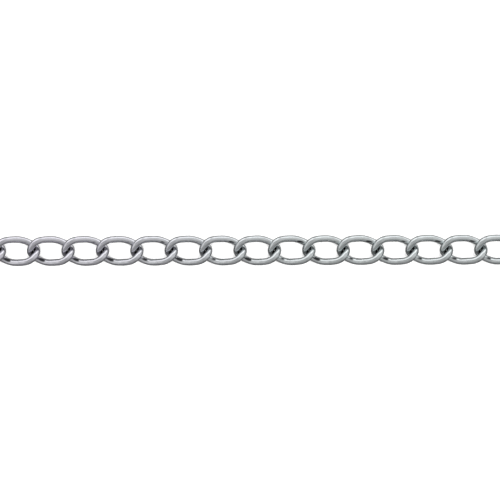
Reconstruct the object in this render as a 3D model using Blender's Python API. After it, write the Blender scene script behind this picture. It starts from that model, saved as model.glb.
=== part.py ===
"""A one foot length of bright steel curb chain, lying flat and straight.

Metres, +Z up. The chain runs along X and lies on the plane z = 0.
"""

import math

import bpy
from mathutils import Matrix, Vector

WIRE = 0.00315
INSIDE_LENGTH = 0.0168
WIDTH = 0.0143
HALF_STRAIGHT = 0.0021
PITCH = 0.0165
LINKS = 18

# How far each bar leans along the chain, and how far the ends of a link are
# turned against its middle.
LEAN = 0.0017
END_TURN = math.radians(41.0)

RINGS = 38
BEND_WEIGHT = 1.6

HALF_LENGTH = INSIDE_LENGTH / 2 + WIRE / 2
HALF_WIDTH = WIDTH / 2 - WIRE / 2
END_DEPTH = HALF_LENGTH - HALF_STRAIGHT
END_ARC = math.pi * (HALF_WIDTH + END_DEPTH) / 2
HALF_ROUND = 2 * HALF_STRAIGHT + END_ARC


def bent_oval(distance):
    """A point of the flat oval, at a distance round it from the middle of its lower bar."""
    side = 1.0
    if distance >= HALF_ROUND:
        side = -1.0
        distance -= HALF_ROUND
    if distance < HALF_STRAIGHT:
        x, y = distance, -HALF_WIDTH
    elif distance < HALF_STRAIGHT + END_ARC:
        angle = math.pi * ((distance - HALF_STRAIGHT) / END_ARC - 0.5)
        x = HALF_STRAIGHT + END_DEPTH * math.cos(angle)
        y = HALF_WIDTH * math.sin(angle)
    else:
        x, y = HALF_ROUND - distance, HALF_WIDTH
    return side * x, side * y


def centreline_point(share):
    """A point of the bent and twisted wire's centreline, about the link's middle."""
    x, y = bent_oval(2 * HALF_ROUND * share)
    x -= LEAN * (y / HALF_WIDTH) ** 3
    turn = END_TURN * x / HALF_LENGTH
    return Matrix.Rotation(-turn, 3, "X") @ Vector((x, y, 0.0))


def spaced_centreline(count, fine=4000):
    """Points along the centreline, set closer together where it bends more."""
    points = [centreline_point(i / fine) for i in range(fine)]
    travel = [0.0]
    for i in range(fine):
        before = points[i] - points[i - 1]
        after = points[(i + 1) % fine] - points[i]
        travel.append(travel[-1] + after.length / WIRE + BEND_WEIGHT * before.angle(after))
    chosen = []
    i = 0
    for k in range(count):
        wanted = travel[-1] * k / count
        while travel[i + 1] <= wanted:
            i += 1
        chosen.append(points[i])
    return chosen


def link_curve():
    """The closed tube that every link shares, with its origin at the left hinge."""
    curve = bpy.data.curves.new("curb_link", "CURVE")
    curve.dimensions = "3D"
    curve.twist_mode = "MINIMUM"
    curve.bevel_depth = WIRE / 2
    curve.bevel_resolution = 3
    spline = curve.splines.new("POLY")
    points = spaced_centreline(RINGS)
    spline.points.add(len(points) - 1)
    for target, point in zip(spline.points, points):
        target.co = (point.x + PITCH / 2, point.y, point.z, 1.0)
    spline.use_cyclic_u = True
    spline.use_smooth = True
    return curve


def plated_steel():
    material = bpy.data.materials.new("plated_steel")
    material.use_nodes = True
    shader = material.node_tree.nodes["Principled BSDF"]
    shader.inputs["Base Color"].default_value = (0.62, 0.63, 0.64, 1.0)
    shader.inputs["Metallic"].default_value = 1.0
    shader.inputs["Roughness"].default_value = 0.24
    return material


def lowest_point(obj):
    bpy.context.view_layer.update()
    graph = bpy.context.evaluated_depsgraph_get()
    evaluated = obj.evaluated_get(graph)
    lowest = min((obj.matrix_world @ vertex.co).z for vertex in evaluated.to_mesh().vertices)
    evaluated.to_mesh_clear()
    return lowest


for old in list(bpy.data.objects):
    bpy.data.objects.remove(old, do_unlink=True)

chain = bpy.data.collections.new("curb_chain")
bpy.context.scene.collection.children.link(chain)

curve = link_curve()
curve.materials.append(plated_steel())

# Each link hangs on the one before it, and turns about its own origin.
links = []
for number in range(1, LINKS + 1):
    link = bpy.data.objects.new(f"link_{number:02d}", curve)
    chain.objects.link(link)
    if links:
        link.parent = links[-1]
        link.location.x = PITCH
    else:
        link.location.x = -PITCH * LINKS / 2
    links.append(link)

links[0].location.z = -lowest_point(links[0])
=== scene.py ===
"""A one foot length of bright plated steel curb chain, seen from straight above on a white table.

Metres, +Z up. The chain lies along X, and its links are named link_01 to link_18 from the left.
"""

import math

import bpy
from mathutils import Matrix, Vector
from mathutils.kdtree import KDTree


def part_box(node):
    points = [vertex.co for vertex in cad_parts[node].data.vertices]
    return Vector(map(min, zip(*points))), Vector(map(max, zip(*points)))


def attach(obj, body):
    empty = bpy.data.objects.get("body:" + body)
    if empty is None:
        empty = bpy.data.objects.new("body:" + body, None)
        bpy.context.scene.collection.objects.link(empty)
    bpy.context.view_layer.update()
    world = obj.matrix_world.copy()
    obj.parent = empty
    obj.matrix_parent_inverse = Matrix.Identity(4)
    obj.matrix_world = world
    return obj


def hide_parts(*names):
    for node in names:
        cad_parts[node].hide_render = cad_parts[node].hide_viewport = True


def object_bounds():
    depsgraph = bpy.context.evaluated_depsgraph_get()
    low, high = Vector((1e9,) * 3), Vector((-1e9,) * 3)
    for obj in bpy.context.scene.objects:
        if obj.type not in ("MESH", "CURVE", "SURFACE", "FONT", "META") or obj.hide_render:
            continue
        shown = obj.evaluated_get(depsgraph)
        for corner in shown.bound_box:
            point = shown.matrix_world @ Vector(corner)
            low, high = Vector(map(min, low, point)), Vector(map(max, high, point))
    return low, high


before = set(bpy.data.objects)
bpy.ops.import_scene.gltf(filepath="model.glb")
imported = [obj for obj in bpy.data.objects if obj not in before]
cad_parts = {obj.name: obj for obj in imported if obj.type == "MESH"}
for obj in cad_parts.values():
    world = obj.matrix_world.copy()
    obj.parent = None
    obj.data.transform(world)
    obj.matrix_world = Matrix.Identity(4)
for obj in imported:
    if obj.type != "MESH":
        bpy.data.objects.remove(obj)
cad_low, cad_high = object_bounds()

# The wire of one link. It is round drawn steel wire, cut to length, bent round to an oval whose sides
# lean a little, and butt-welded shut in the middle of one long side. Its two ends are then turned
# against each other, so that the linked chain lies flat.
WIRE = 0.00315
INSIDE_LENGTH = 0.0167
WIDTH = 0.0143
HALF_STRAIGHT = 0.0021
LEAN = 0.0017
END_TURN = math.radians(41.0)
HALF_LENGTH = INSIDE_LENGTH / 2 + WIRE / 2
HALF_WIDTH = WIDTH / 2 - WIRE / 2
END_DEPTH = HALF_LENGTH - HALF_STRAIGHT
END_ARC = math.pi * (HALF_WIDTH + END_DEPTH) / 2
HALF_ROUND = 2 * HALF_STRAIGHT + END_ARC
PITCH = 0.0165

FINE_STEPS = 6000
RINGS = 150
BEVEL_RESOLUTION = 14
SIDES = 4 + 2 * BEVEL_RESOLUTION

# The weld is a hairline groove round the wire, on a slight swelling.
SEAM_GAP = 0.00004
SEAM_STEPS = (0.00008, 0.00018, 0.00035, 0.0007, 0.0012)
SEAM_DEPTH = 0.015
SWELLING = 0.022
SWELLING_LENGTH = 0.0011


def bent_oval(distance):
    """A point of the flat oval, at a distance round it from the middle of its lower bar."""
    side = 1.0
    if distance >= HALF_ROUND:
        side = -1.0
        distance -= HALF_ROUND
    if distance < HALF_STRAIGHT:
        x, y = distance, -HALF_WIDTH
    elif distance < HALF_STRAIGHT + END_ARC:
        angle = math.pi * ((distance - HALF_STRAIGHT) / END_ARC - 0.5)
        x = HALF_STRAIGHT + END_DEPTH * math.cos(angle)
        y = HALF_WIDTH * math.sin(angle)
    else:
        x, y = HALF_ROUND - distance, HALF_WIDTH
    return side * x, side * y


def twisted_wire(share):
    """A point of the finished wire's centreline, for a share of the way round the link."""
    x, y = bent_oval(2 * HALF_ROUND * share)
    x -= LEAN * (y / HALF_WIDTH) ** 3
    turn = END_TURN * x / HALF_LENGTH
    return Matrix.Rotation(-turn, 3, "X") @ Vector((x, y, 0.0))


def wire_thickness(distance):
    """How thick the wire is at a distance from the weld, as a share of its normal thickness."""
    swelling = SWELLING * math.exp(-((distance / SWELLING_LENGTH) ** 2))
    groove = SEAM_DEPTH * math.exp(-((distance / SEAM_STEPS[0]) ** 2))
    return 1.0 + swelling - groove


line = [twisted_wire((i + 0.5) / FINE_STEPS) for i in range(FINE_STEPS)]
travel = [0.0]
for i in range(1, FINE_STEPS):
    travel.append(travel[-1] + (line[i] - line[i - 1]).length)
wire_length = travel[-1]

# The rings of the wire are evenly spaced, apart from the closer ones at the weld.
stations = [wire_length * (k + 0.5) / RINGS for k in range(RINGS)]
stations = [s for s in stations if SEAM_STEPS[-1] < s < wire_length - SEAM_STEPS[-1]]
for step in (SEAM_GAP / 2, *SEAM_STEPS):
    stations += [step, wire_length - step]
stations.sort()

bpy.ops.object.select_all(action="DESELECT")
bpy.ops.curve.primitive_bezier_circle_add(radius=HALF_LENGTH, location=(0, 0, 0))
wire = bpy.context.object
bpy.ops.object.mode_set(mode="EDIT")
bpy.ops.curve.spline_type_set(type="POLY")
bpy.ops.object.mode_set(mode="OBJECT")
spline = wire.data.splines[0]
spline.points.add(len(stations) - len(spline.points))
i = 0
for point, station in zip(spline.points, stations):
    while i < FINE_STEPS - 1 and travel[i] < station:
        i += 1
    point.co = (*line[i], 1.0)
    point.radius = wire_thickness(min(station, wire_length - station))
wire.data.dimensions = "3D"
wire.data.twist_mode = "MINIMUM"
wire.data.bevel_depth = WIRE / 2
wire.data.bevel_resolution = BEVEL_RESOLUTION
bpy.ops.object.convert(target="MESH")
wire = bpy.context.object
bpy.ops.object.mode_set(mode="EDIT")
bpy.ops.mesh.select_all(action="SELECT")
bpy.ops.mesh.normals_make_consistent(inside=False)
bpy.ops.object.mode_set(mode="OBJECT")
bpy.ops.object.shade_smooth()

# Marks that follow the wire. Drawing leaves fine lines along it, so each point knows its place in
# millimetres, across the wire and along it from the weld. Each end is rubbed where the next link bears.
MILLIMETRES = 1000
RUBBED_SIZE = 0.0013
for name, kind in (("on_wire", "FLOAT_VECTOR"), ("rubbed", "FLOAT"), ("shaded", "FLOAT")):
    wire.data.attributes.new(name, kind, "POINT")
on_wire = wire.data.attributes["on_wire"]
rubbed = wire.data.attributes["rubbed"]
bearings = [Vector((end * INSIDE_LENGTH / 2, 0.0, 0.0)) for end in (-1, 1)]
for number, vertex in enumerate(wire.data.vertices):
    ring, side = divmod(number, SIDES)
    angle = 2 * math.pi * side / SIDES
    on_wire.data[number].vector = (
        MILLIMETRES * WIRE / 2 * math.cos(angle),
        MILLIMETRES * WIRE / 2 * math.sin(angle),
        MILLIMETRES * stations[ring],
    )
    nearest = min((vertex.co - bearing).length for bearing in bearings)
    rubbed.data[number].value = math.exp(-((nearest / RUBBED_SIZE) ** 2))

# The dark spots are painted shade and painted reflection. The bright wire mirrors the next link and the dark
# gaps beside it: in the nook round each bearing, and in a spot on the inner side of each bar, next to the
# crossing. Here they are painted dark into the wire's colour. The two spots of a link differ, as it leans
# a little to one side or the other.
NOOK = 0.0010
NOOK_STRENGTH = 1.5
LEFT_SPOT = {
    "place": Vector((-0.0045, -0.0041, 0.0)),
    "along": Vector((0.91, -0.41, 0.0)).normalized(),
    "half_length": 0.0024,
    "half_width": 0.0008,
}
RIGHT_SPOT = {
    "place": Vector((0.0043, 0.00405, 0.0)),
    "along": Vector((0.965, -0.26, 0.0)).normalized(),
    "half_length": 0.0028,
    "half_width": 0.00065,
}
neighbours = KDTree(2 * FINE_STEPS)
for number, point in enumerate(line):
    neighbours.insert(point - Vector((PITCH, 0.0, 0.0)), number)
    neighbours.insert(point + Vector((PITCH, 0.0, 0.0)), FINE_STEPS + number)
neighbours.balance()


def nook_shade(point):
    """How much painted shade the wire gets from a neighbour, and 0 where its surface is farther off than a
    nook.
    """
    gap = neighbours.find(point)[2] - WIRE / 2
    return max(NOOK_STRENGTH * (1.0 - gap / NOOK), 0.0)


def from_spot(point, place, along, half_length, half_width):
    """How far a point is from the middle of a spot: 1 on the edge of a full-sized one."""
    offset = point - place
    lengthwise = offset.dot(along)
    crosswise = (offset - lengthwise * along).length
    return math.hypot(lengthwise / half_length, crosswise / half_width)


nooks = [nook_shade(vertex.co) for vertex in wire.data.vertices]
from_left_spot = [from_spot(vertex.co, **LEFT_SPOT) for vertex in wire.data.vertices]
from_right_spot = [from_spot(vertex.co, **RIGHT_SPOT) for vertex in wire.data.vertices]


# The finish. The wire is zinc plated and bright dipped: a smooth, slightly clouded metal, faintly violet
# at one end of the length and faintly green at the other, with fine drawing marks along the wire,
# small tumbling scuffs, and duller rubbed spots inside the ends of each link.
class Value:
    """A number or vector that changes over the surface, on which sums can be written."""

    def __init__(self, tree, socket):
        self.tree = tree
        self.socket = socket

    def node(self, kind, settings=None, inputs=None, output=0):
        """The output of a new node, whose settings are set before the values or links of its sockets."""
        made = self.tree.nodes.new(kind)
        for name, setting in (settings or {}).items():
            setattr(made, name, setting)
        for name, value in (inputs or {}).items():
            if isinstance(value, Value):
                self.tree.links.new(value.socket, made.inputs[name])
            else:
                made.inputs[name].default_value = value
        return Value(self.tree, made.outputs[output])

    def maths(self, operation, *values):
        return self.node("ShaderNodeMath", {"operation": operation}, dict(enumerate(values)))

    def __add__(self, other):
        return self.maths("ADD", self, other)

    __radd__ = __add__

    def __sub__(self, other):
        return self.maths("SUBTRACT", self, other)

    def __rsub__(self, other):
        return self.maths("SUBTRACT", other, self)

    def __mul__(self, other):
        return self.maths("MULTIPLY", self, other)

    __rmul__ = __mul__

    def steps(self, low, high):
        """0 below low and 1 above high, smooth between."""
        settings = {"interpolation_type": "SMOOTHSTEP"}
        return self.node("ShaderNodeMapRange", settings, {"Value": self, "From Min": low, "From Max": high})

    def noise(self, scale, detail=2.0, rough=0.5):
        inputs = {"Vector": self, "Scale": scale, "Detail": detail, "Roughness": rough}
        return self.node("ShaderNodeTexNoise", None, inputs)

    def stretched(self, x, y, z):
        inputs = {0: self, 1: (x, y, z)}
        return self.node("ShaderNodeVectorMath", {"operation": "MULTIPLY"}, inputs)

    def mixed(self, first, second):
        """From the first colour where this is 0 to the second where it is 1."""
        settings = {"data_type": "RGBA"}
        inputs = {"Factor": self, 6: first, 7: second}
        return self.node("ShaderNodeMix", settings, inputs, 2)

    def feeds(self, socket):
        self.tree.links.new(self.socket, socket)


VIOLET_PLATE = (0.655, 0.645, 0.700, 1.0)
GREEN_PLATE = (0.640, 0.680, 0.685, 1.0)
CLOUDED_PLATE = (0.560, 0.570, 0.590, 1.0)
# The colour of the painted shade and painted reflection in the nooks and spots.
PAINTED_SHADE = (0.028, 0.029, 0.032, 1.0)
VIOLET_END = -0.11
GREEN_END = 0.05
CLOUDING = 0.35

# Patterns a metre. Those that follow the wire are given a millimetre across it, with the share of that
# number along it.
CLOUDS = 260.0
SCUFFS = 1500.0
DENTS = 420.0
DRAWN_LINES = 9.0
DRAWN_LINES_ALONG = 0.03
WAVES = 1.3
WAVES_ALONG = 0.25

# Where in its pattern a cloud or a scuff sets in, and where it is full.
CLOUD_EDGES = (0.35, 0.75)
SCUFF_EDGES = (0.52, 0.72)

BRIGHT_ROUGHNESS = 0.07
CLOUD_ROUGHNESS = 0.03
SCUFF_ROUGHNESS = 0.04
RUBBED_ROUGHNESS = 0.12

# The height of the dents in metres, and the heights of the other bumps as shares of it.
DENT_HEIGHT = 0.00008
WAVE_HEIGHT = 0.6
DRAWN_HEIGHT = 0.06
SCUFF_HEIGHT = 0.06

plate = bpy.data.materials.new("bright_zinc_plate")
plate.use_nodes = True
tree = plate.node_tree
shader = tree.nodes["Principled BSDF"]
surface = Value(tree, None)
place = surface.node("ShaderNodeTexCoord", output=3)
wire_place = surface.node("ShaderNodeAttribute", {"attribute_name": "on_wire"}, output=1)
worn = surface.node("ShaderNodeAttribute", {"attribute_name": "rubbed"}, output=2)
# Where the nooks and spots of painted shade and painted reflection lie on the wire.
dark = surface.node("ShaderNodeAttribute", {"attribute_name": "shaded"}, output=2)

along = place.node("ShaderNodeSeparateXYZ", None, {0: place}, 0)
clouds = place.noise(CLOUDS, 3.0).steps(*CLOUD_EDGES)
scuffs = place.noise(SCUFFS, 4.0, 0.6).steps(*SCUFF_EDGES)
drawn = wire_place.stretched(1.0, 1.0, DRAWN_LINES_ALONG).noise(DRAWN_LINES, 3.0)
dents = place.noise(DENTS, 2.0)
waves = wire_place.stretched(1.0, 1.0, WAVES_ALONG).noise(WAVES, 2.0)

colour = along.steps(VIOLET_END, GREEN_END).mixed(VIOLET_PLATE, GREEN_PLATE)
colour = (clouds * CLOUDING).mixed(colour, CLOUDED_PLATE)
# Painted shade and painted reflection darken the wire in the nooks and spots.
colour = dark.mixed(colour, PAINTED_SHADE)
colour.feeds(shader.inputs["Base Color"])
roughness = BRIGHT_ROUGHNESS + CLOUD_ROUGHNESS * clouds + SCUFF_ROUGHNESS * scuffs + RUBBED_ROUGHNESS * worn
roughness.feeds(shader.inputs["Roughness"])
shader.inputs["Metallic"].default_value = 1.0
height = dents + WAVE_HEIGHT * waves + DRAWN_HEIGHT * drawn + SCUFF_HEIGHT * scuffs
bump_inputs = {"Strength": 1.0, "Distance": DENT_HEIGHT, "Height": height}
height.node("ShaderNodeBump", None, bump_inputs).feeds(shader.inputs["Normal"])
wire.data.materials.append(plate)

# The links. All are the same wire form, hooked into each other in one row, each with its own mesh at the
# place of its solid, where its lowest point lies on the table. Toward the middle of the length every
# second link leans a little the other way. The free end of the first and of the last has no painted shade
# and no rubbed spots.
LEANING = math.radians(1.3)
LEANING_MIDDLE = 0.55
LEANING_SPREAD = 0.22
NOOK_DARKNESS = 0.86
NOOK_CHANGE = 0.12
SPOT_BLUR = 0.35

# The reach of a spot on the left end's link, its change to the right end, its change where the link
# leans, and its most.
LEFT_REACH = (1.20, -0.45, -0.25, 1.15)
RIGHT_REACH = (0.30, 0.60, 0.30, 1.00)


def spot_reach(reach, place_in_row, to_side):
    """How far a link's spot reaches, as a share of a full-sized one."""
    first, with_place, with_lean, most = reach
    return min(first + with_place * place_in_row + with_lean * to_side, most)


count = len(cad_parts)
for number in range(1, count + 1):
    node = f"link_{number:02d}"
    low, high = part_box(node)
    bpy.ops.object.select_all(action="DESELECT")
    wire.select_set(True)
    bpy.context.view_layer.objects.active = wire
    bpy.ops.object.duplicate(linked=False)
    link = bpy.context.object
    link.name = f"wire_{node}"
    link.data.name = link.name
    place_in_row = (number - 1) / (count - 1)
    settled = math.exp(-(((place_in_row - LEANING_MIDDLE) / LEANING_SPREAD) ** 2))
    to_side = settled if number % 2 else -settled
    left_reach = spot_reach(LEFT_REACH, place_in_row, to_side)
    right_reach = spot_reach(RIGHT_REACH, place_in_row, to_side)
    link_shaded = link.data.attributes["shaded"]
    link_rubbed = link.data.attributes["rubbed"]
    # Each link's painted shade and painted reflection, with none at a free end.
    for i, vertex in enumerate(wire.data.vertices):
        if vertex.co.x < 0:
            free = number == 1
            nook = min(nooks[i], NOOK_DARKNESS - NOOK_CHANGE * to_side)
            spot = (left_reach - from_left_spot[i]) / SPOT_BLUR
        else:
            free = number == count
            nook = min(nooks[i], NOOK_DARKNESS + NOOK_CHANGE * to_side)
            spot = (right_reach - from_right_spot[i]) / SPOT_BLUR
        link_shaded.data[i].value = 0.0 if free else min(max(nook, spot), 1.0)
        if free:
            link_rubbed.data[i].value = 0.0
    link.rotation_euler.x = -LEANING * to_side
    link.location = (low + high) / 2
    bpy.ops.object.transform_apply(location=True, rotation=True, scale=True)
    link.location.z = low.z - min(vertex.co.z for vertex in link.data.vertices)
    bpy.ops.object.transform_apply(location=True, rotation=True, scale=True)
    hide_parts(node)
    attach(link, node)
bpy.data.objects.remove(wire, do_unlink=True)

# The table. It is a matt white sheet that runs out of view on all sides, under a broad soft lamp of its own.
# The lamp lights the sheet alone, so brightly that only the deepest shade under the chain stays dark.
TABLE_SIZE = 60.0
SHEET_WHITE = (0.9, 0.9, 0.9, 1.0)
SHEET_ROUGHNESS = 0.9
LAMP_POWER = 4.5
LAMP_BREADTH = math.radians(80.0)
bpy.ops.object.select_all(action="DESELECT")
bpy.ops.mesh.primitive_plane_add(size=TABLE_SIZE, location=(0, 0, 0))
table = bpy.context.object
table.name = "white_table"
bpy.ops.object.transform_apply(location=True, rotation=True, scale=True)
sheet = bpy.data.materials.new("white_sheet")
sheet.use_nodes = True
matt = sheet.node_tree.nodes["Principled BSDF"]
matt.inputs["Base Color"].default_value = SHEET_WHITE
matt.inputs["Roughness"].default_value = SHEET_ROUGHNESS
matt.inputs["Specular IOR Level"].default_value = 0.0
table.data.materials.append(sheet)
table.visible_glossy = False
bpy.ops.object.select_all(action="DESELECT")
bpy.ops.object.light_add(type="SUN", location=(0, 0, 1))
lamp = bpy.context.object
lamp.name = "table_lamp"
lamp.data.energy = LAMP_POWER
lamp.data.angle = LAMP_BREADTH
lit_by_lamp = bpy.data.collections.new("lit_by_table_lamp")
lit_by_lamp.objects.link(table)
lamp.light_linking.receiver_collection = lit_by_lamp

# The light. The chain lies in a white tent that glows dimly all round, with soft lamps behind its walls:
# one high up, three behind the chain, one at each side and a weak one in front. Seen past the table's
# edge the tent is as white as the table.
TENT_GLOW = 0.18
TENT_WHITE = (1.0, 1.0, 1.0, 1.0)
LAMPS = (
    # toward the lamp, cosine at its outer and inner edge, brightness
    ((-0.25, 0.43, 0.87), 0.20, 0.90, 0.24),
    ((0.66, 0.71, 0.26), 0.20, 0.90, 0.41),
    ((-0.47, 0.76, 0.43), 0.75, 0.95, 0.86),
    ((0.44, 0.86, 0.26), 0.90, 0.98, 0.80),
    ((-0.96, -0.13, 0.26), 0.75, 0.95, 0.52),
    ((0.83, -0.26, 0.50), 0.75, 0.95, 0.28),
    ((-0.19, -0.68, 0.71), 0.50, 0.90, 0.20),
)
world = bpy.data.worlds.new("tent")
bpy.context.scene.world = world
world.use_nodes = True
tree = world.node_tree
background = tree.nodes["Background"]
background.inputs["Color"].default_value = TENT_WHITE
tent = Value(tree, None)
heading = tent.node("ShaderNodeTexCoord", output=0)
glow = TENT_GLOW
for toward, outer_edge, inner_edge, brightness in LAMPS:
    facing = heading.node("ShaderNodeVectorMath", {"operation": "DOT_PRODUCT"}, {0: heading, 1: toward}, 1)
    glow = glow + brightness * facing.steps(outer_edge, inner_edge)
seen = tent.node("ShaderNodeLightPath", output=0)
(glow * (1.0 - seen) + seen).feeds(background.inputs["Strength"])

# The camera. It looks straight down from far off with a long lens, at a point a little to the right of
# the middle of the chain, and is turned by a fraction of a degree.
PICTURE_WIDTH = 0.2398
PICTURE_MIDDLE = Vector((0.00477, 0.00018, 0.0))
PICTURE_TURN = math.radians(-0.185)
CAMERA_HEIGHT = 1.3
SENSOR = 36.0
camera = bpy.data.objects.new("camera", bpy.data.cameras.new("camera"))
bpy.context.scene.collection.objects.link(camera)
camera.data.type = "PERSP"
camera.data.sensor_width = SENSOR
camera.data.lens = SENSOR * CAMERA_HEIGHT / PICTURE_WIDTH
camera.data.clip_start = 0.1
camera.data.clip_end = 100.0
camera.location = (cad_low + cad_high) / 2 + PICTURE_MIDDLE + Vector((0.0, 0.0, CAMERA_HEIGHT))
camera.rotation_euler = (0.0, 0.0, PICTURE_TURN)
bpy.context.scene.camera = camera
bpy.context.scene.view_settings.view_transform = "Standard"
